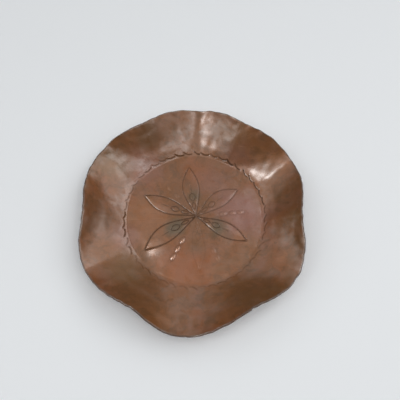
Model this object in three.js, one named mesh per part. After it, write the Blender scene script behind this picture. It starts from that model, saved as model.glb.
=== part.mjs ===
// Fluted copper bowl, raised from one round blank of sheet copper. Millimetres, +Z up.
// The origin is the centre of the flat floor's underside, the face that the bowl stands on.
// Angles on the rim are clock angles: 0 points along +Y and 90 along +X.

import * as THREE from "three";

// Driving dimensions.
const sheet = 0.9; // thickness of the copper
const floorRadius = 29; // the flat floor, out to where the wall starts to rise
const wallCurve = 1.15; // how the wall lifts off the floor: 1 is a straight cone, 2 a deep curve
const edgeRound = 0.3; // how far the filed edge bulges past the blank's radius

// The rim, as troughs and crests in turn. A trough is a creased flute that lies low and reaches
// far out, and a crest is the rounded ridge between two of them, higher and pulled in.
const rim = [
  { clock: 1, reach: 48.5, rise: 8.0 },
  { clock: 27, reach: 45.0, rise: 12.0 },
  { clock: 59, reach: 48.0, rise: 8.0 },
  { clock: 93, reach: 43.0, rise: 13.0 },
  { clock: 125, reach: 49.0, rise: 8.0 },
  { clock: 151, reach: 46.0, rise: 13.0 },
  { clock: 186, reach: 51.0, rise: 8.0 },
  { clock: 209, reach: 47.0, rise: 13.0 },
  { clock: 238, reach: 50.0, rise: 8.0 },
  { clock: 266, reach: 45.0, rise: 13.0 },
  { clock: 300, reach: 49.0, rise: 8.5 },
  { clock: 326, reach: 45.5, rise: 12.0 },
];

// How finely the bowl is faceted.
const turns = 120;
const floorSteps = 3;
const wallSteps = 9;
const edgeSteps = 2;

const blankRadius = 50; // only labels the rings of the blank: the rim's reach sets the real size
const copper = { color: 0x8a5236, metalness: 1.0, roughness: 0.42 };

// Reach and rise of the rim at a clock angle, blended between the nearest trough and crest.
function rimAt(clock) {
  const angle = THREE.MathUtils.euclideanModulo(clock - rim[0].clock, 360) + rim[0].clock;
  const next = rim.findIndex((mark) => mark.clock > angle);
  const after = next < 0 ? { ...rim[0], clock: rim[0].clock + 360 } : rim[next];
  const before = rim[(next < 0 ? rim.length : next) - 1];
  const beforeIsTrough = rim.indexOf(before) % 2 === 0;
  const [trough, crest] = beforeIsTrough ? [before, after] : [after, before];
  const share = (angle - trough.clock) / (crest.clock - trough.clock);
  // The reach leaves the trough smoothly, and the rise leaves it at a sharp crease.
  const pulled = (1 - Math.cos((share * Math.PI) / 2) + share * share * (3 - 2 * share)) / 2;
  const lifted = Math.sin((share * Math.PI) / 2);
  return {
    reach: THREE.MathUtils.lerp(trough.reach, crest.reach, pulled),
    rise: THREE.MathUtils.lerp(trough.rise, crest.rise, lifted),
  };
}

// Where a point of the flat blank ends up on the middle of the formed sheet.
function formed(radius, clock) {
  const { reach, rise } = rimAt(clock);
  const up = Math.max(0, (radius - floorRadius) / (blankRadius - floorRadius));
  const out = radius > floorRadius ? floorRadius + (reach - floorRadius) * up : radius;
  const turned = THREE.MathUtils.degToRad(clock);
  return new THREE.Vector3(
    out * Math.sin(turned),
    out * Math.cos(turned),
    sheet / 2 + rise * up ** wallCurve,
  );
}

// The sheet's upward normal there, from two short steps across the surface.
function formedNormal(radius, clock) {
  const step = 0.05;
  if (radius < floorRadius + step) return new THREE.Vector3(0, 0, 1);
  const outward = formed(radius + step, clock).sub(formed(radius - step, clock));
  const sideways = formed(radius, clock + step).sub(formed(radius, clock - step));
  return sideways.cross(outward).normalize();
}

// The blank's cross-section: out along the top, round the filed edge and back underneath.
function blankProfile() {
  const top = [];
  for (let i = 0; i <= floorSteps; i++) top.push((floorRadius * i) / floorSteps);
  for (let i = 1; i <= wallSteps; i++) {
    top.push(floorRadius + ((blankRadius - floorRadius) * i) / wallSteps);
  }
  const points = top.map((radius) => new THREE.Vector2(radius, sheet / 2));
  for (let i = 1; i < edgeSteps; i++) {
    const turned = Math.PI * (i / edgeSteps);
    points.push(
      new THREE.Vector2(blankRadius + edgeRound * Math.sin(turned), (sheet / 2) * Math.cos(turned)),
    );
  }
  return points.concat(top.reverse().map((radius) => new THREE.Vector2(radius, -sheet / 2)));
}

// The bowl: the blank turned on a lathe, with every vertex then moved to where forming leaves it.
function bowlGeometry() {
  const geometry = new THREE.LatheGeometry(blankProfile(), turns);
  const position = geometry.getAttribute("position");
  for (let i = 0; i < position.count; i++) {
    const radius = Math.hypot(position.getX(i), position.getZ(i));
    const clock = THREE.MathUtils.radToDeg(Math.atan2(position.getX(i), position.getZ(i)));
    const through = position.getY(i);
    const point = formed(radius, clock).addScaledVector(formedNormal(radius, clock), through);
    position.setXYZ(i, point.x, point.y, point.z);
  }
  geometry.computeVertexNormals();
  return geometry;
}

const bowl = new THREE.Mesh(bowlGeometry(), new THREE.MeshStandardMaterial(copper));
bowl.name = "bowl";

const part = new THREE.Group();
part.add(bowl);

export default part;
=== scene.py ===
import math
import random

import bmesh
import bpy
from mathutils import Matrix, Vector, kdtree, noise


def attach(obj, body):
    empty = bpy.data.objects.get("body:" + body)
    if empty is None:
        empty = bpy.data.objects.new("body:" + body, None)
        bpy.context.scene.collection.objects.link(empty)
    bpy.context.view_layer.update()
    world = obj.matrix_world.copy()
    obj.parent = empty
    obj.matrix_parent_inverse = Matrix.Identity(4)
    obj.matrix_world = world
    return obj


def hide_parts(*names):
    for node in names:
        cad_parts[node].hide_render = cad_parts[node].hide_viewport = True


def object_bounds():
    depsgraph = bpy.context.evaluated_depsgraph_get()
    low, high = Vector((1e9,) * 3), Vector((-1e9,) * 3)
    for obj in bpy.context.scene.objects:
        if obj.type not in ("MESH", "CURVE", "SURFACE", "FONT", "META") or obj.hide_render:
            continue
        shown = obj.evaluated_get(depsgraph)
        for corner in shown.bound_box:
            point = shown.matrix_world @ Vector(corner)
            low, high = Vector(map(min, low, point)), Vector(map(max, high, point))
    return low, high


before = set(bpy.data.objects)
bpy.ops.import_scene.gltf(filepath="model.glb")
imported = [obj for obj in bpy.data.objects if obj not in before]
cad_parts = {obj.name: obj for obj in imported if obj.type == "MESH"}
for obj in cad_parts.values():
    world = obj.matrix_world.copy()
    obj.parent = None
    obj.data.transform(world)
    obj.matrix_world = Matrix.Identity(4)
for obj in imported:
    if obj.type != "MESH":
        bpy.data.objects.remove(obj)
cadLow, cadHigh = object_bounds()

# The bowl is worked in millimetres and scaled to metres once its mesh is done.
# Clock angles: 0 points along +Y and 90 along +X.
mm = 0.001

bowl = {
    "thickness": 0.9,
    "blankRadius": 50.0,
    "floorRadius": 29.0,
    "floorCrown": 0.20,  # how far the middle of the floor is arched off the table
    "clearance": 0.25,  # keeps every hollow in the floor off the table
    "rimWander": 0.65,  # how unevenly the cut edge runs
    "wanderSize": 3,
    "wanderSeed": 8.8,
    "edgeRound": 0.22,  # how much the cut edge's corners are filed off
    "ridgeRounding": 0.18,  # how softly the rim turns at a ridge
}

# Troughs and ridges in turn round the rim. A straight wall has a hollow of 1 and a sharp crease a soft
# of 0. A ridge with a broad of 0.25 is flat on top for a fifth of the way down to its neighbours.
rimMarks = [
    {"clock": 1, "reach": 48.5, "rise": 7.8, "hollow": 1.15, "soft": 0.15},
    {"clock": 27, "reach": 44.6, "rise": 11.6, "hollow": 0.95, "broad": 0.30},
    {"clock": 59, "reach": 48.0, "rise": 7.8, "hollow": 1.50, "soft": 0.16},
    {"clock": 93, "reach": 42.4, "rise": 12.25, "hollow": 1.05},
    {"clock": 125, "reach": 49.0, "rise": 7.8, "hollow": 1.15, "soft": 0.12},
    {"clock": 151, "reach": 45.6, "rise": 12.2, "hollow": 1.15},
    {"clock": 186, "reach": 51.0, "rise": 7.8, "hollow": 1.15, "soft": 0.30},
    {"clock": 209, "reach": 46.6, "rise": 12.05, "hollow": 1.15},
    {"clock": 238, "reach": 50.0, "rise": 7.8, "hollow": 1.15, "soft": 0.10},
    {"clock": 266, "reach": 44.5, "rise": 11.9, "hollow": 1.15},
    {"clock": 300, "reach": 49.0, "rise": 8.3, "hollow": 1.30, "soft": 0.25},
    {"clock": 328, "reach": 45.1, "rise": 11.6, "hollow": 1.00, "broad": 0.42},
]

hammering = {
    "spacing": 5.2,  # between one blow and the next
    "stray": 1.1,  # how far a blow lands from its place
    "wallDepth": 0.055,
    "floorDepth": 0.03,
    "blend": 0.9,  # how softly one facet runs into the next
    "wall": (28, 36),  # the blows turn from the floor's depth to the wall's between these radii
    "waves": (30, 40),  # and so does the sheet's own unevenness
    "knockReach": 2.5,  # a knock is felt this many sizes away
    "seed": 7,
}

# Deeper knocks in the wall: clock, distance out along the sheet, size and depth (below 0, a swelling).
knocks = [
    (312, 41.0, 4.0, 0.30), (334, 38.5, 3.2, 0.22), (346, 42.0, 3.5, 0.22), (12, 36.0, 3.0, 0.20),
    (282, 40.0, 4.5, 0.25), (72, 42.5, 3.5, 0.20), (104, 43.0, 4.5, 0.25), (168, 42.0, 5.0, 0.20),
    (43, 33.0, 4.6, 0.78), (55, 39.5, 3.0, -0.15), (221, 41.5, 4.5, 0.22), (251, 44.0, 4.0, 0.20),
    (196, 38.0, 4.0, 0.15), (134, 38.0, 4.0, 0.18),
]

# Shallow hollows in the floor: clock, distance out, size and depth.
floorHollows = [
    (228, 26.8, 5.3, 0.80), (271, 20.5, 4.5, 0.15), (97, 20.0, 4.5, 0.13), (120, 20.0, 2.4, 0.12),
]

# The sheet's own unevenness: width of a wave, its height on the floor and on the wall, and a seed.
unevenness = [(15, 0.06, 0.05, 1.7), (9, 0.05, 0.30, 4.2), (3.2, 0.012, 0.045, 6.1)]


def mix(low, high, share):
    return low + (high - low) * share


def smoothShare(value, low, high):
    share = min(1, max(0, (value - low) / (high - low)))
    return share * share * (3 - 2 * share)


def rimAt(clock):
    # reach, rise and hollow of the wall, blended between the nearest trough and ridge
    start = rimMarks[0]["clock"]
    angle = (clock - start) % 360 + start
    lap = rimMarks + [dict(rimMarks[0], clock=start + 360)]
    index = max(i for i in range(len(rimMarks)) if lap[i]["clock"] <= angle)
    trough, ridge = lap[index], lap[index + 1]
    if index % 2:
        trough, ridge = ridge, trough
    share = (angle - trough["clock"]) / (ridge["clock"] - trough["clock"])
    pull = max(0, 1 - math.hypot(1 - share, bowl["ridgeRounding"]))
    pulled = (1 - math.cos(pull * math.pi / 2) + smoothShare(pull, 0, 1)) / 2
    soft = trough["soft"]
    eased = (math.hypot(share, soft) - soft) / (math.hypot(1, soft) - soft)
    lift = min(1, eased * (1 + ridge.get("broad", 0)))
    lifted = math.sin(lift * math.pi / 2)
    reach = mix(trough["reach"], ridge["reach"], pulled)
    rise = mix(trough["rise"], ridge["rise"], lifted)
    return reach, rise, mix(trough["hollow"], ridge["hollow"], share)


def treeOf(points):
    tree = kdtree.KDTree(len(points))
    for i, point in enumerate(points):
        tree.insert(Vector((point[0], point[1], 0)), i)
    tree.balance()
    return tree


def onClock(clock, radius):
    turned = math.radians(clock)
    return Vector((radius * math.sin(turned), radius * math.cos(turned)))


def strikeBlows():
    # blows in rings, each a little off its place
    chance = random.Random(hammering["seed"])
    spacing, stray = hammering["spacing"], hammering["stray"]
    blows = [(0.0, 0.0)]
    lap = 1
    while lap * spacing < bowl["blankRadius"]:
        radius = lap * spacing
        count = round(2 * math.pi * radius / spacing)
        for i in range(count):
            place = onClock(360 * (i + 0.5 * (lap % 2)) / count, radius)
            x = place.x + chance.uniform(-stray, stray)
            y = place.y + chance.uniform(-stray, stray)
            blows.append((x, y))
        lap += 1
    return treeOf(blows)


def placed(dents):
    return [(onClock(clock, radius), size, depth) for clock, radius, size, depth in dents]


blowTree = strikeBlows()
wallDents, floorDents = placed(knocks), placed(floorHollows)


def dented(x, y, dents):
    depth = 0
    for place, size, dent in dents:
        away = math.hypot(x - place.x, y - place.y) / size
        if away < hammering["knockReach"]:
            depth += dent * math.exp(-away * away)
    return depth


def hammered(x, y, radius):
    # height left by the hammer: shallow facets with soft ridges where they meet
    near = blowTree.find_n(Vector((x, y, 0)), 4)
    soft = hammering["blend"]
    lowest = near[0][2] ** 2
    facet = lowest - math.log(sum(math.exp((lowest - d * d) / soft) for _, _, d in near)) * soft
    onWall = smoothShare(radius, *hammering["wall"])
    depth = mix(hammering["floorDepth"], hammering["wallDepth"], onWall)
    height = depth * (facet / (hammering["spacing"] / 2) ** 2)
    height -= dented(x, y, wallDents) * onWall + dented(x, y, floorDents)
    upWall = smoothShare(radius, *hammering["waves"])
    for size, onFloor, onSides, seed in unevenness:
        wave = noise.noise(Vector((x / size, y / size, seed)))
        height += mix(onFloor, onSides, upWall) * wave
    return height + bowl["clearance"]


def formed(x, y):
    # where a point of the flat blank ends up on the middle of the sheet
    radius = math.hypot(x, y)
    clock = math.degrees(math.atan2(x, y))
    reach, rise, hollow = rimAt(clock)
    floorEdge = bowl["floorRadius"]
    up = max(0, (radius - floorEdge) / (bowl["blankRadius"] - floorEdge))
    out = radius if radius < floorEdge else mix(floorEdge, reach, up)
    size = bowl["wanderSize"]
    wander = 0.5 + 0.5 * noise.noise(Vector((x / size, y / size, bowl["wanderSeed"])))
    out -= bowl["rimWander"] * wander * smoothShare(up, 0.7, 1)
    place = onClock(clock, out)
    crown = bowl["floorCrown"] * max(0, 1 - (radius / floorEdge) ** 4)
    height = crown + rise * up ** hollow + hammered(x, y, radius)
    return Vector((place.x, place.y, height))


# Chased lines and raised dots, in millimetres on the flat blank.
chasing = {
    "centre": (0.5, 0.3),
    "depth": 0.135,
    "halfWidth": 0.24,
    "lip": 0.02,  # height of the raised lip beside a line, as a share of its depth
    "puff": 0.14,  # how far a petal swells inside its outline
    "oxide": 1.1,  # how dark the lines are
    "oxideWidth": 1.6,  # and how wide, in half widths of the line
    "wear": 0.25,  # how bright the lips are
    "seedForce": 0.95,  # how hard and how wide the marks inside a petal are, as shares of its outline
    "seedWidth": 0.90,
    "veinForce": 0.60,
    "veinWidth": 0.85,
    "pressure": 0.86,  # how hard a stroke is struck, how much that varies, and the first touch of it
    "pressureStray": 0.28,
    "firstTouch": 0.35,
    "through": 0.3,  # how much of a line shows through on the underside
    "throughOxide": 0.15,
}

# The six petals: clock, length, swell to the left and to the right, and how hard they are chased.
petals = [
    (351, 23.5, 4.1, 3.0, 0.80),
    (54, 22.0, 4.3, 2.6, 0.70),
    (116, 23.9, 3.5, 3.0, 1.05),
    (175, 23.6, 2.8, 2.4, 0.22),
    (234, 26.0, 2.8, 4.5, 1.15),
    (292, 24.6, 3.9, 2.8, 1.00),
]
# Two seeds inside each petal and a vein beyond them: from and to, as shares of the petal's length, and
# how wide a seed is, as a share of the petal.
seeds = [(0.13, 0.29, 0.42), (0.30, 0.47, 0.40)]
vein = (0.50, 0.64)

# Raised dots between the petals: clock, distances from the centre, height.
dotRows = [
    (206.5, (12.2, 16.3, 20.2), 0.27),
    (83, (11.5, 15.6, 19.0), 0.15),
    (317, (12.5, 17.3), 0.08),
    (153, (16.8, 20.6), 0.07),
]
dot = {
    "halfWidth": 0.58,
    "halfLength": 1.05,
    "steepness": 1.2,
    "moat": 0.22,  # depth of the hollow round a dot, as a share of its height
    "moatAt": 1.7,  # where it lies and how narrow it is, in half widths
    "moatTightness": 5,
    # the moat is darkened partly as oxide in its hollow and partly as painted shade round the dot
    "moatOxideAndShade": 0.45,
    "bright": 0.25,  # the height from which a dot is fully worn
}

# The wavy ring: short curved strokes end to end round the foot of the wall.
ring = {
    "radius": 30.4,
    "strokes": 48,
    "length": 4.1,
    "bow": 0.60,
    "tilt": 11,
    "depth": 0.18,
    "halfWidth": 0.24,
    "clockStray": 0.6,  # how far the strokes stray in place, turn, length and force
    "radiusStray": 0.2,
    "tiltStray": 13,
    "lengths": (0.80, 1.08),
    "forces": (0.6, 0.8, 0.9, 1.0, 1.0, 1.2),
    "seed": 23,
}
# How hard the ring is struck on its way round: clock and share.
ringForce = [
    (0, 0.8), (24, 1.0), (30, 1.6), (36, 1.0), (62, 1.2), (82, 0.8), (105, 0.6), (140, 0.35),
    (215, 0.35), (262, 0.9), (300, 0.65),
]


def forceAt(clock):
    lap = ringForce + [(ringForce[0][0] + 360, ringForce[0][1])]
    for low, high in zip(lap, lap[1:]):
        if low[0] <= clock % 360 <= high[0]:
            return mix(low[1], high[1], (clock % 360 - low[0]) / (high[0] - low[0]))


def petalSide(s):
    # swell of a petal at a share of its length, 1 at its widest
    return math.sin(math.pi * s ** 1.25)


def alongPetal(clock, along, across):
    axis = onClock(clock, 1)
    right = Vector((axis.y, -axis.x))
    return Vector(chasing["centre"]) + axis * along + right * across


def shares(low, high, count):
    return [mix(low, high, i / count) for i in range(count + 1)]


def petalLines():
    # each line as its points, how hard it is chased and how wide
    lines = []
    for clock, length, left, right, force in petals:
        for side, swell in ((-1, left), (1, right)):
            line = []
            for s in shares(0, 1, 160):
                line.append(alongPetal(clock, length * s, side * swell * petalSide(s)))
            lines.append((line, force, 1.0))
        lean = (right - left) / 2
        for low, high, share in seeds:
            widest = share * (left + right) / 2 * petalSide((low + high) / 2)
            for side in (-1, 1):
                line = []
                for s in shares(low, high, 40):
                    belly = widest * math.sin(math.pi * (s - low) / (high - low))
                    line.append(alongPetal(clock, length * s, lean * petalSide(s) + side * belly))
                lines.append((line, force * chasing["seedForce"], chasing["seedWidth"]))
        line = [alongPetal(clock, length * s, lean * petalSide(s)) for s in shares(*vein, 20)]
        lines.append((line, force * chasing["veinForce"], chasing["veinWidth"]))
    return lines


def ringLines():
    chance = random.Random(ring["seed"])
    deeper, wider = ring["depth"] / chasing["depth"], ring["halfWidth"] / chasing["halfWidth"]
    lines = []

    def strayed(value, stray):
        return value + chance.uniform(-ring[stray], ring[stray])

    for i in range(ring["strokes"]):
        clock = strayed(360 * i / ring["strokes"], "clockStray")
        radius = strayed(ring["radius"], "radiusStray")
        tilt = math.radians(strayed(ring["tilt"], "tiltStray"))
        half = ring["length"] * chance.uniform(*ring["lengths"]) / 2
        force = forceAt(clock) * chance.choice(ring["forces"])
        outward = onClock(clock, 1)
        onward = Vector((outward.y, -outward.x))
        line = []
        for t in shares(-1, 1, 32):
            bow = ring["bow"] * (t * t - 0.4)
            reach = radius + bow - half * t * math.sin(tilt)
            line.append(outward * reach + onward * half * t * math.cos(tilt))
        lines.append((line, force * deeper, wider))
    return lines


def sampleLines():
    # points all along the lines, each with its depth and half width
    points, cuts = [], []
    for line, force, width in petalLines() + ringLines():
        for i, place in enumerate(line):
            stray = noise.noise(Vector((place.x * 1.3, place.y * 1.3, 2.2)))
            stroke = chasing["pressure"] + chasing["pressureStray"] * stray
            ending = min(1, chasing["firstTouch"] + min(i, len(line) - 1 - i) / 4)
            points.append((place.x, place.y))
            cuts.append((chasing["depth"] * force * stroke * ending, chasing["halfWidth"] * width))
    return treeOf(points), cuts


lineTree, lineCuts = sampleLines()
dots = []
for clock, radii, height in dotRows:
    for radius in radii:
        dots.append((alongPetal(clock, radius, 0), clock, height))


def turnedTo(clock, offset):
    # an offset as distances along a clock direction and to the right of it
    turned = math.radians(clock)
    along = offset.x * math.sin(turned) + offset.y * math.cos(turned)
    across = offset.x * math.cos(turned) - offset.y * math.sin(turned)
    return along, across


def chased(x, y):
    # height of the chasing at a point, how much oxide it holds, with painted shade in the moats round
    # the dots, and how much wear
    here = Vector((x, y))
    _, index, away = lineTree.find(Vector((x, y, 0)))
    depth, halfWidth = lineCuts[index]
    struck = depth / chasing["depth"]
    cut = math.exp(-((away / halfWidth) ** 2))
    lip = math.exp(-(((away - 2.0 * halfWidth) / (0.8 * halfWidth)) ** 2))
    soil = math.exp(-((away / (chasing["oxideWidth"] * halfWidth)) ** 2))
    height = depth * (chasing["lip"] * lip - cut)
    recess = min(1, chasing["oxide"] * soil * struck)
    worn = chasing["wear"] * lip * struck
    for clock, length, left, right, force in petals:
        along, across = turnedTo(clock, here - Vector(chasing["centre"]))
        if 0 < along < length:
            swell = (right if across > 0 else left) * petalSide(along / length)
            inside = 1 - min(1, abs(across) / max(swell, 0.01))
            height += chasing["puff"] * smoothShare(inside, 0, 0.8) * force
    for place, clock, rise in dots:
        along, across = turnedTo(clock, here - place)
        away = (along / dot["halfLength"]) ** 2 + (across / dot["halfWidth"]) ** 2
        if away < 6:
            bump = math.exp(-dot["steepness"] * away)
            moat = math.exp(-((math.sqrt(away) - dot["moatAt"]) ** 2) * dot["moatTightness"])
            height += rise * (bump - dot["moat"] * moat)
            bright = min(1, rise / dot["bright"])
            worn = max(worn, bump * bright)
            # painted shade, partly oxide: the moat round a dot is darkened
            recess = max(recess, dot["moatOxideAndShade"] * moat * bright)
    return height, recess, min(1, worn)


# Rings of faces in the blank: inner and outer radius, steps around and rows.
bands = [(0, 4, 60, 4), (4, 14, 120, 12), (14, 28, 240, 20), (28, 50, 432, 30)]
# How fine the mesh is: the longest edge allowed up to each distance from a chased line or a dot.
grain = {
    "gap": 0.25,  # between one ring of faces and the next, closed by bridging
    "near": 0.28,
    "nearReach": 0.75,
    "around": 0.63,
    "aroundReach": 1.4,
    "dotReach": 1.2,
    "under": 0.70,
    "underReach": 1.2,
    "elsewhere": 1.5,
    "sweeps": 4,
}


def ringOfFaces(bm, inner, outer, around, rows):
    # a radial row of edges, spun round the axis
    corners = [bm.verts.new((0, radius, 0)) for radius in shares(inner, outer, rows)]
    spoke = [bm.edges.new(ends) for ends in zip(corners, corners[1:])]
    bmesh.ops.spin(
        bm, geom=spoke + corners, cent=(0, 0, 0), axis=(0, 0, 1), angle=math.tau, steps=around,
        use_merge=True,
    )


def flatBlank():
    bm = bmesh.new()
    gap = grain["gap"]
    for inner, outer, around, rows in bands:
        ringOfFaces(bm, inner + gap if inner else 0, outer, around, rows)
    bmesh.ops.remove_doubles(bm, verts=bm.verts[:], dist=1e-5)
    for _, seam, _, _ in bands[:-1]:
        loops = []
        for edge in bm.edges:
            radius = (edge.verts[0].co + edge.verts[1].co).length / 2
            if edge.is_boundary and abs(radius - seam - gap / 2) < gap:
                loops.append(edge)
        bmesh.ops.bridge_loops(bm, edges=loops)
    bmesh.ops.recalc_face_normals(bm, faces=bm.faces[:])
    if sum(face.normal.z for face in bm.faces) < 0:
        bmesh.ops.reverse_faces(bm, faces=bm.faces[:])
    return bm


def refine(bm, longestAt):
    # split every edge that is longer than its place allows
    for _ in range(grain["sweeps"]):
        longOnes = []
        for edge in bm.edges:
            middle = (edge.verts[0].co + edge.verts[1].co) / 2
            if edge.calc_length() > longestAt(middle):
                longOnes.append(edge)
        if not longOnes:
            break
        bmesh.ops.subdivide_edges(bm, edges=longOnes, cuts=1, use_grid_fill=True)
        uneven = [face for face in bm.faces if len(face.verts) > 4]
        bmesh.ops.triangulate(bm, faces=uneven)


def lineAway(place):
    return lineTree.find(Vector((place.x, place.y, 0)))[2]


def longestOnTop(place):
    away = lineAway(place)
    for spot, _, _ in dots:
        away = min(away, math.hypot(place.x - spot.x, place.y - spot.y) - grain["dotReach"])
    if away < grain["nearReach"]:
        return grain["near"]
    return grain["around"] if away < grain["aroundReach"] else grain["elsewhere"]


def longestUnder(place):
    return grain["under"] if lineAway(place) < grain["underReach"] else grain["elsewhere"]


def raiseSheet(bm, underneath):
    # bends one face of the blank to shape and offsets it by half the sheet's thickness
    recessLayer = bm.verts.layers.float.new("recess")
    wornLayer = bm.verts.layers.float.new("worn")
    outLayer = bm.verts.layers.float.new("out")
    flat = {vert: vert.co.copy() for vert in bm.verts}
    for vert, place in flat.items():
        vert.co = formed(place.x, place.y)
    bm.normal_update()
    for vert, place in flat.items():
        height, recess, worn = chased(place.x, place.y)
        vert[outLayer] = place.length / bowl["blankRadius"]
        if underneath:
            # the chasing shows through, softened
            height *= -chasing["through"]
            recess *= chasing["throughOxide"]
            worn = 0
        vert[recessLayer] = recess
        vert[wornLayer] = worn
        vert.co += vert.normal * (bowl["thickness"] / 2 + height)


def makeBowl():
    upper = flatBlank()
    lower = upper.copy()
    bmesh.ops.reverse_faces(lower, faces=lower.faces[:])
    refine(upper, longestOnTop)
    refine(lower, longestUnder)
    raiseSheet(upper, False)
    raiseSheet(lower, True)
    halves = bpy.data.meshes.new("halves")
    lower.to_mesh(halves)
    upper.from_mesh(halves)
    lower.free()
    bpy.data.meshes.remove(halves)
    # join the two faces at the cut edge, then round its corners
    rimEdges = [edge for edge in upper.edges if edge.is_boundary]
    bmesh.ops.bridge_loops(upper, edges=rimEdges)
    bmesh.ops.bevel(
        upper, geom=rimEdges, offset=bowl["edgeRound"], segments=2, profile=0.5, material=-1,
        affect="EDGES",
    )
    bmesh.ops.scale(upper, vec=(mm, mm, mm), verts=upper.verts[:])
    lowest = min(vert.co.z for vert in upper.verts)
    bmesh.ops.translate(upper, vec=(0, 0, cadLow.z - lowest), verts=upper.verts[:])
    for face in upper.faces:
        face.smooth = True
    mesh = bpy.data.meshes.new("raisedBowl")
    upper.to_mesh(mesh)
    openEdges = sum(1 for edge in upper.edges if edge.is_boundary or not edge.is_manifold)
    print("bowl:", len(mesh.polygons), "faces,", openEdges, "open edges")
    upper.free()
    piece = bpy.data.objects.new("raisedBowl", mesh)
    bpy.context.scene.collection.objects.link(piece)
    return piece


raisedBowl = makeBowl()
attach(raisedBowl, "root")
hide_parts("bowl")


def newGroup(name, inputs, outputs):
    group = bpy.data.node_groups.new(name, "ShaderNodeTree")
    for socketName, kind, value in inputs:
        socket = group.interface.new_socket(name=socketName, in_out="INPUT", socket_type=kind)
        if value is not None:
            socket.default_value = value
    for socketName, kind in outputs:
        group.interface.new_socket(name=socketName, in_out="OUTPUT", socket_type=kind)
    return group, group.nodes.new("NodeGroupInput"), group.nodes.new("NodeGroupOutput")


def addNode(tree, kind, settings=None, **values):
    node = tree.nodes.new(kind)
    for key, value in (settings or {}).items():
        setattr(node, key, value)
    for key, value in values.items():
        node.inputs[key.replace("_", " ")].default_value = value
    return node


def makeClouds():
    # ragged patches of a finish: 0 outside, 1 inside
    group, given, result = newGroup(
        "finishClouds",
        [("Coords", "NodeSocketVector", None), ("Scale", "NodeSocketFloat", 60.0),
         ("Detail", "NodeSocketFloat", 5.0), ("Warp", "NodeSocketFloat", 0.6),
         ("From", "NodeSocketFloat", 0.45), ("To", "NodeSocketFloat", 0.62)],
        [("Mask", "NodeSocketFloat")],
    )
    link = group.links.new
    pattern = addNode(group, "ShaderNodeTexNoise", Roughness=0.62)
    spread = addNode(group, "ShaderNodeMapRange", {"interpolation_type": "SMOOTHSTEP"})
    link(given.outputs["Coords"], pattern.inputs["Vector"])
    link(given.outputs["Scale"], pattern.inputs["Scale"])
    link(given.outputs["Detail"], pattern.inputs["Detail"])
    link(given.outputs["Warp"], pattern.inputs["Distortion"])
    link(pattern.outputs["Fac"], spread.inputs["Value"])
    link(given.outputs["From"], spread.inputs["From Min"])
    link(given.outputs["To"], spread.inputs["From Max"])
    link(spread.outputs["Result"], result.inputs["Mask"])
    return group


def makeStain():
    # one soft spot with a ragged edge
    group, given, result = newGroup(
        "finishSpot",
        [("Coords", "NodeSocketVector", None), ("Centre", "NodeSocketVector", (0.0, 0.0, 0.0)),
         ("Radius", "NodeSocketFloat", 0.01), ("Ragged", "NodeSocketFloat", 0.3)],
        [("Mask", "NodeSocketFloat")],
    )
    link = group.links.new
    away = addNode(group, "ShaderNodeVectorMath", {"operation": "DISTANCE"})
    share = addNode(group, "ShaderNodeMath", {"operation": "DIVIDE"})
    pattern = addNode(group, "ShaderNodeTexNoise", Scale=110.0, Detail=4.0, Roughness=0.6)
    centred = addNode(group, "ShaderNodeMath", {"operation": "SUBTRACT"})
    centred.inputs[1].default_value = 0.5
    uneven = addNode(group, "ShaderNodeMath", {"operation": "MULTIPLY_ADD"})
    fade = addNode(group, "ShaderNodeMapRange", {"interpolation_type": "SMOOTHSTEP"},
                   From_Min=0.25, From_Max=1.15, To_Min=1.0, To_Max=0.0)
    link(given.outputs["Coords"], away.inputs[0])
    link(given.outputs["Centre"], away.inputs[1])
    link(away.outputs["Value"], share.inputs[0])
    link(given.outputs["Radius"], share.inputs[1])
    link(given.outputs["Coords"], pattern.inputs["Vector"])
    link(pattern.outputs["Fac"], centred.inputs[0])
    link(centred.outputs["Value"], uneven.inputs[0])
    link(given.outputs["Ragged"], uneven.inputs[1])
    link(share.outputs["Value"], uneven.inputs[2])
    link(uneven.outputs["Value"], fade.inputs["Value"])
    link(fade.outputs["Result"], result.inputs["Mask"])
    return group


def makeSkin():
    # the fine skin of worked metal: planishing grain and hairline scratches, as a height
    group, given, result = newGroup(
        "workedSkin",
        [("Coords", "NodeSocketVector", None), ("Grain", "NodeSocketFloat", 1.0),
         ("Scratches", "NodeSocketFloat", 1.0)],
        [("Height", "NodeSocketFloat")],
    )
    link = group.links.new
    fine = addNode(group, "ShaderNodeTexNoise", Scale=1500.0, Detail=3.0, Roughness=0.6)
    broad = addNode(group, "ShaderNodeTexNoise", Scale=420.0, Detail=4.0, Roughness=0.55)
    link(given.outputs["Coords"], fine.inputs["Vector"])
    link(given.outputs["Coords"], broad.inputs["Vector"])
    both = addNode(group, "ShaderNodeMath", {"operation": "MULTIPLY_ADD"})
    both.inputs[1].default_value = 0.15
    link(fine.outputs["Fac"], both.inputs[0])
    link(broad.outputs["Fac"], both.inputs[2])
    total = addNode(group, "ShaderNodeMath", {"operation": "MULTIPLY"})
    link(both.outputs["Value"], total.inputs[0])
    link(given.outputs["Grain"], total.inputs[1])
    last = total.outputs["Value"]
    for turn, stretch in ((0.5, 1900.0), (2.1, 1600.0), (1.2, 2300.0)):
        turned = addNode(group, "ShaderNodeMapping", Rotation=(0, 0, turn), Scale=(0.03, 1.0, 0.3))
        hair = addNode(group, "ShaderNodeTexNoise", Scale=stretch, Detail=1.0)
        cut = addNode(group, "ShaderNodeMapRange",
                      From_Min=0.66, From_Max=0.78, To_Min=0.0, To_Max=-0.6)
        sized = addNode(group, "ShaderNodeMath", {"operation": "MULTIPLY_ADD"})
        link(given.outputs["Coords"], turned.inputs["Vector"])
        link(turned.outputs["Vector"], hair.inputs["Vector"])
        link(hair.outputs["Fac"], cut.inputs["Value"])
        link(cut.outputs["Result"], sized.inputs[0])
        link(given.outputs["Scratches"], sized.inputs[1])
        link(last, sized.inputs[2])
        last = sized.outputs["Value"]
    link(last, result.inputs["Height"])
    return group


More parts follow.
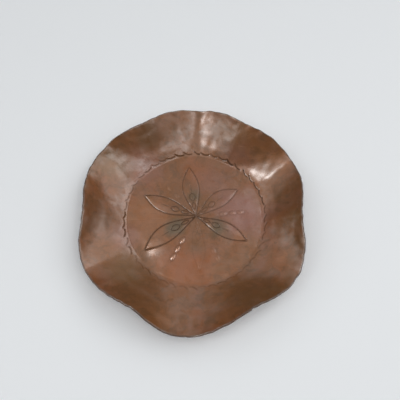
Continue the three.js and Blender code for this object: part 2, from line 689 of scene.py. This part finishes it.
copperFinish = {
    "brown": (0.224, 0.088, 0.028),
    "bright": (0.50, 0.25, 0.12),
    "tan": (0.300, 0.118, 0.042),
    "orange": (0.300, 0.092, 0.025),
    "dark": (0.135, 0.060, 0.018),
    "olive": (0.180, 0.092, 0.026),
    "rosy": (0.272, 0.116, 0.080),
    "green": (0.082, 0.074, 0.037),
    "oxide": (0.055, 0.027, 0.014),
}

# Clouds are given by scale, where they begin and end, detail and warp.
# Clouds of patina over the whole sheet: finish, cloud and strength.
patina = [
    ("orange", (45.0, 0.48, 0.68, 5.0, 0.6), 0.45),
    ("dark", (70.0, 0.50, 0.72, 6.0, 0.9), 0.50),
    ("olive", (38.0, 0.52, 0.70, 5.0, 0.6), 0.45),
    ("rosy", (55.0, 0.50, 0.74, 5.0, 0.6), 0.45),
    ("dark", (170.0, 0.48, 0.64, 5.0, 1.2), 0.55),
    ("tan", (240.0, 0.52, 0.68, 4.0, 0.8), 0.40),
]
speckle = ("dark", (520.0, 0.60, 0.74, 3.0, 0.2), 0.40)

# Where the patina differs, and where the wall is darkened as painted shade: finish, centre in
# millimetres, radius and strength.
patinaAndShadeSpots = [
    ("dark", (0, 4, 1), 16, 0.25),
    ("tan", (-20, 0, 1), 11, 0.80),
    ("orange", (-2, -21, 1), 14, 0.70),
    ("orange", (0, 22, 1), 9, 0.40),
    ("rosy", (19, 2, 1), 14, 0.95),
    ("rosy", (8, 16, 1), 10, 0.40),
    ("rosy", (-24, 22, 3), 12, 0.60),
    ("rosy", (-29, -9, 3), 8, 0.50),
    ("rosy", (18, 30, 3), 10, 0.45),
    ("tan", (19, -8.5, 1), 4, 0.60),
    ("tan", (-17, -13.5, 1), 4, 0.60),
    ("green", (-8, -5, 1), 5, 0.70),
    ("green", (10, -4.5, 1), 5.5, 0.70),
    ("green", (-0.5, 9.5, 1), 4, 0.55),
    ("green", (1, -13, 1), 6, 0.30),
    ("dark", (0.5, 0.3, 1), 2.2, 0.60),
    # painted shade: these dark spots on the wall, near the ridges, stand for the dark the wall mirrors
    # there
    ("dark", (-21, 34, 9), 8, 0.80),
    ("dark", (-43, -2, 8), 9, 0.40),
    ("dark", (26, -35, 8), 15, 0.70),
    ("dark", (-22, -36, 8), 12, 0.30),
    ("dark", (42, 4, 8), 12, 0.50),
    ("olive", (-34, 20, 7), 10, 0.50),
    ("olive", (-26, -24, 6), 10, 0.50),
    ("olive", (16, 38, 6), 10, 0.40),
]

# Where the patina has gone dull: centre in millimetres and radius.
dullSpots = [
    ((-38, -16, 5), 12), ((-40, 14, 6), 10), ((-22, 32, 8), 9), ((36, -18, 5), 9), ((38, 23, 7), 8),
    ((-14, -44, 8), 8),
]

# How the surface shines: the metal itself, then the hard film over it.
shine = {
    "specular": 0.2,
    "roughness": 0.42,
    "roughnessOfDots": 0.22,
    "roughnessOfLines": 0.72,
    "metallic": 0.30,
    "metallicOfDots": 0.85,
    "metallicOfLines": 0.10,
    "film": 1.0,
    "filmOfLines": 0.05,
    "dullFilm": 0.28,
    "dullShare": 0.85,
    "filmRoughness": 0.23,
    "filmIor": 1.9,
}
# Clouds in the roughness and in the film, each with the value inside it.
roughClouds = [((65.0, 0.42, 0.66, 5.0, 0.6), 0.50), ((150.0, 0.50, 0.70, 5.0, 0.6), 0.34)]
filmClouds = [((95.0, 0.42, 0.62, 6.0, 1.4), 0.62), ((300.0, 0.55, 0.72, 3.0, 0.6), 0.45)]

# How bright the dots are worn, how strong the oxide is in the lines, and how strong the painted shade
# is on the cut edge, which lies between two shares of the blank's radius.
wear = {"dots": 0.35, "lines": 0.72, "edge": 0.70, "edgeShadeFrom": 0.988, "edgeShadeTo": 0.997}


def makeCopper():
    material = bpy.data.materials.new("agedCopper")
    material.use_nodes = True
    tree = material.node_tree
    tree.nodes.clear()
    link = tree.links.new
    clouds, spotGroup, skin = makeClouds(), makeStain(), makeSkin()
    coords = tree.nodes.new("ShaderNodeTexCoord").outputs["Object"]

    def cloudMask(scale, low, high, detail, warp):
        node = addNode(tree, "ShaderNodeGroup", {"node_tree": clouds},
                       Scale=scale, Detail=detail, Warp=warp, From=low, To=high)
        link(coords, node.inputs["Coords"])
        return node.outputs["Mask"]

    def spotMask(centre, radius):
        node = addNode(tree, "ShaderNodeGroup", {"node_tree": spotGroup},
                       Centre=[c * mm for c in centre], Radius=radius * mm, Ragged=1.1)
        link(coords, node.inputs["Coords"])
        return node.outputs["Mask"]

    def attribute(name):
        return addNode(tree, "ShaderNodeAttribute", {"attribute_name": name}).outputs["Fac"]

    def times(first, second):
        node = addNode(tree, "ShaderNodeMath", {"operation": "MULTIPLY"})
        link(first, node.inputs[0])
        if isinstance(second, float):
            node.inputs[1].default_value = second
        else:
            link(second, node.inputs[1])
        return node.outputs["Value"]

    def tint(base, finish, mask, strength):
        node = addNode(tree, "ShaderNodeMix", {"data_type": "RGBA"})
        if isinstance(base, tuple):
            node.inputs[6].default_value = (*base, 1)
        else:
            link(base, node.inputs[6])
        node.inputs[7].default_value = (*copperFinish[finish], 1)
        link(times(mask, strength), node.inputs[0])
        return node.outputs[2]

    def shift(base, mask, target):
        node = addNode(tree, "ShaderNodeMix", {"data_type": "FLOAT"})
        if isinstance(base, float):
            node.inputs[2].default_value = base
        else:
            link(base, node.inputs[2])
        node.inputs[3].default_value = target
        link(mask, node.inputs[0])
        return node.outputs[0]

    recess, worn, outward = attribute("recess"), attribute("worn"), attribute("out")
    colour = copperFinish["brown"]
    for finish, cloud, strength in patina:
        colour = tint(colour, finish, cloudMask(*cloud), strength)
    for finish, centre, radius, strength in patinaAndShadeSpots:
        colour = tint(colour, finish, spotMask(centre, radius), strength)
    finish, cloud, strength = speckle
    colour = tint(colour, finish, cloudMask(*cloud), strength)
    colour = tint(colour, "bright", worn, wear["dots"])
    # oxide in the chased lines, and painted shade in the moats round the dots
    colour = tint(colour, "oxide", recess, wear["lines"])
    # painted shade: the cut edge is tinted with the oxide colour to stand for its shaded side
    edge = addNode(tree, "ShaderNodeMapRange", From_Min=wear["edgeShadeFrom"], From_Max=wear["edgeShadeTo"])
    link(outward, edge.inputs["Value"])
    colour = tint(colour, "oxide", edge.outputs["Result"], wear["edge"])

    roughness = shine["roughness"]
    for cloud, inside in roughClouds:
        roughness = shift(roughness, cloudMask(*cloud), inside)
    roughness = shift(roughness, worn, shine["roughnessOfDots"])
    roughness = shift(roughness, recess, shine["roughnessOfLines"])
    metallic = shift(shine["metallic"], recess, shine["metallicOfLines"])
    metallic = shift(metallic, worn, shine["metallicOfDots"])

    film = shine["film"]
    for cloud, inside in filmClouds:
        film = shift(film, cloudMask(*cloud), inside)
    for centre, radius in dullSpots:
        film = shift(film, times(spotMask(centre, radius), shine["dullShare"]), shine["dullFilm"])
    film = shift(film, recess, shine["filmOfLines"])

    shader = addNode(tree, "ShaderNodeBsdfPrincipled")
    shader.inputs["Specular IOR Level"].default_value = shine["specular"]
    shader.inputs["Coat IOR"].default_value = shine["filmIor"]
    shader.inputs["Coat Roughness"].default_value = shine["filmRoughness"]
    link(colour, shader.inputs["Base Color"])
    link(roughness, shader.inputs["Roughness"])
    link(metallic, shader.inputs["Metallic"])
    link(film, shader.inputs["Coat Weight"])
    surface = addNode(tree, "ShaderNodeGroup", {"node_tree": skin}, Grain=1.0, Scratches=0.5)
    link(coords, surface.inputs["Coords"])
    bump = addNode(tree, "ShaderNodeBump", Strength=0.5, Distance=0.00016)
    link(surface.outputs["Height"], bump.inputs["Height"])
    link(bump.outputs["Normal"], shader.inputs["Normal"])
    link(shader.outputs["BSDF"], tree.nodes.new("ShaderNodeOutputMaterial").inputs["Surface"])
    return material


raisedBowl.data.materials.append(makeCopper())
print("copper finish done")


stage = {
    "size": 3.0,
    "colour": (0.865, 0.89, 0.91),
    "roughness": 0.55,
}


def makeTable():
    bm = bmesh.new()
    bmesh.ops.create_grid(bm, x_segments=1, y_segments=1, size=stage["size"] / 2)
    mesh = bpy.data.meshes.new("table")
    bm.to_mesh(mesh)
    bm.free()
    table = bpy.data.objects.new("table", mesh)
    bpy.context.scene.collection.objects.link(table)
    material = bpy.data.materials.new("paleTable")
    material.use_nodes = True
    shader = material.node_tree.nodes["Principled BSDF"]
    shader.inputs["Base Color"].default_value = (*stage["colour"], 1)
    shader.inputs["Roughness"].default_value = stage["roughness"]
    shader.inputs["Specular IOR Level"].default_value = 0.2
    mesh.materials.append(material)


makeTable()

# Soft lamps: direction from the bowl, distance, side of the square panel and brightness of its face.
# The key is there for the shine alone, and the fill for the matt colours and the shadow.
lamps = {
    "keyLamp": {
        "toward": (-0.42, 0.0, 0.91), "away": 0.60, "side": 0.15, "glow": 11.0, "skips": "diffuse",
    },
    "fillLamp": {
        "toward": (0.03, -0.24, 0.96), "away": 0.80, "side": 0.70, "glow": 1.15, "skips": "glossy",
    },
    "windowLamp": {"toward": (0.56, 0.24, 0.79), "away": 0.80, "side": 0.54, "glow": 1.5},
    "sideLamp": {"toward": (-0.57, -0.24, 0.79), "away": 0.75, "side": 0.20, "glow": 2.4},
    "lowLamp": {"toward": (-0.82, 0.10, 0.56), "away": 0.80, "side": 0.30, "glow": 0.8},
    "frontLamp": {"toward": (0.31, -0.34, 0.89), "away": 0.70, "side": 0.18, "glow": 2.7},
}
# The room: dim near the horizon, overhead and where somebody leans over the table.
room = {
    "colour": (0.985, 0.99, 1.0),
    "level": 0.64,
    "horizon": 0.03,
    "horizonFrom": 0.18,
    "horizonTo": 0.65,
    "beyond": (0.33, 0.34, 0.35),
}
# Dim parts of the room: direction, stretch sideways, inner and outer reach, and the light left there.
shades = [
    ((0.0, -0.66, 0.75), 0.60, 0.22, 0.55, 0.03),
    ((0.0, 0.32, 0.95), 0.70, 0.10, 0.60, 0.50),
]


def addLamp(name, lamp):
    light = bpy.data.lights.new(name, "AREA")
    light.shape = "SQUARE"
    light.size = lamp["side"]
    light.energy = lamp["glow"] * math.pi * lamp["side"] ** 2
    light.color = (1.0, 0.995, 0.99)
    holder = bpy.data.objects.new(name, light)
    toward = Vector(lamp["toward"]).normalized()
    holder.location = toward * lamp["away"]
    holder.rotation_euler = toward.to_track_quat("Z", "Y").to_euler()
    holder.visible_diffuse = lamp.get("skips") != "diffuse"
    holder.visible_glossy = lamp.get("skips") != "glossy"
    bpy.context.scene.collection.objects.link(holder)


for name, lamp in lamps.items():
    addLamp(name, lamp)


def makeRoom():
    world = bpy.data.worlds.new("room")
    bpy.context.scene.world = world
    world.use_nodes = True
    tree = world.node_tree
    link = tree.links.new
    background = tree.nodes["Background"]
    background.inputs["Color"].default_value = (*room["colour"], 1)
    where = tree.nodes.new("ShaderNodeTexCoord")
    split = tree.nodes.new("ShaderNodeSeparateXYZ")
    level = addNode(tree, "ShaderNodeMapRange", {"interpolation_type": "SMOOTHSTEP"},
                    From_Min=room["horizonFrom"], From_Max=room["horizonTo"],
                    To_Min=room["horizon"], To_Max=room["level"])
    link(where.outputs["Generated"], split.inputs["Vector"])
    link(split.outputs["Z"], level.inputs["Value"])
    total = level.outputs["Result"]
    for toward, stretch, inner, outer, left in shades:
        squeezed = addNode(tree, "ShaderNodeVectorMath", {"operation": "MULTIPLY"})
        squeezed.inputs[1].default_value = (stretch, 1, 1)
        away = addNode(tree, "ShaderNodeVectorMath", {"operation": "DISTANCE"})
        away.inputs[1].default_value = toward
        shade = addNode(tree, "ShaderNodeMapRange", {"interpolation_type": "SMOOTHSTEP"},
                        From_Min=inner, From_Max=outer, To_Min=left, To_Max=1.0)
        dimmed = addNode(tree, "ShaderNodeMath", {"operation": "MULTIPLY"})
        link(where.outputs["Generated"], squeezed.inputs[0])
        link(squeezed.outputs["Vector"], away.inputs[0])
        link(away.outputs["Value"], shade.inputs["Value"])
        link(total, dimmed.inputs[0])
        link(shade.outputs["Result"], dimmed.inputs[1])
        total = dimmed.outputs["Value"]
    link(total, background.inputs["Strength"])
    # seen directly, past the end of the table, the room is one plain tone
    beyond = addNode(tree, "ShaderNodeBackground", Color=(*room["beyond"], 1), Strength=1.0)
    seen = tree.nodes.new("ShaderNodeLightPath")
    either = tree.nodes.new("ShaderNodeMixShader")
    link(seen.outputs["Is Camera Ray"], either.inputs["Fac"])
    link(background.outputs["Background"], either.inputs[1])
    link(beyond.outputs["Background"], either.inputs[2])
    link(either.outputs["Shader"], tree.nodes["World Output"].inputs["Surface"])


makeRoom()

# The camera: its place in millimetres, its turn in degrees and its lens.
view = {"across": 1.99, "back": -72.4, "height": 193.0, "tilt": 22.76, "roll": 1.29, "lens": 43.3}


def makeCamera():
    camera = bpy.data.cameras.new("camera")
    camera.lens = view["lens"]
    camera.clip_start = 0.005
    camera.clip_end = 20
    holder = bpy.data.objects.new("camera", camera)
    holder.location = Vector((view["across"], view["back"], view["height"])) * mm
    tilt = Matrix.Rotation(math.radians(view["tilt"]), 3, "X")
    roll = Matrix.Rotation(math.radians(view["roll"]), 3, "Z")
    holder.rotation_euler = (tilt @ roll).to_euler()
    bpy.context.scene.collection.objects.link(holder)
    bpy.context.scene.camera = holder


makeCamera()
bpy.context.scene.view_settings.view_transform = "Standard"

print("stage, lamps and camera done")
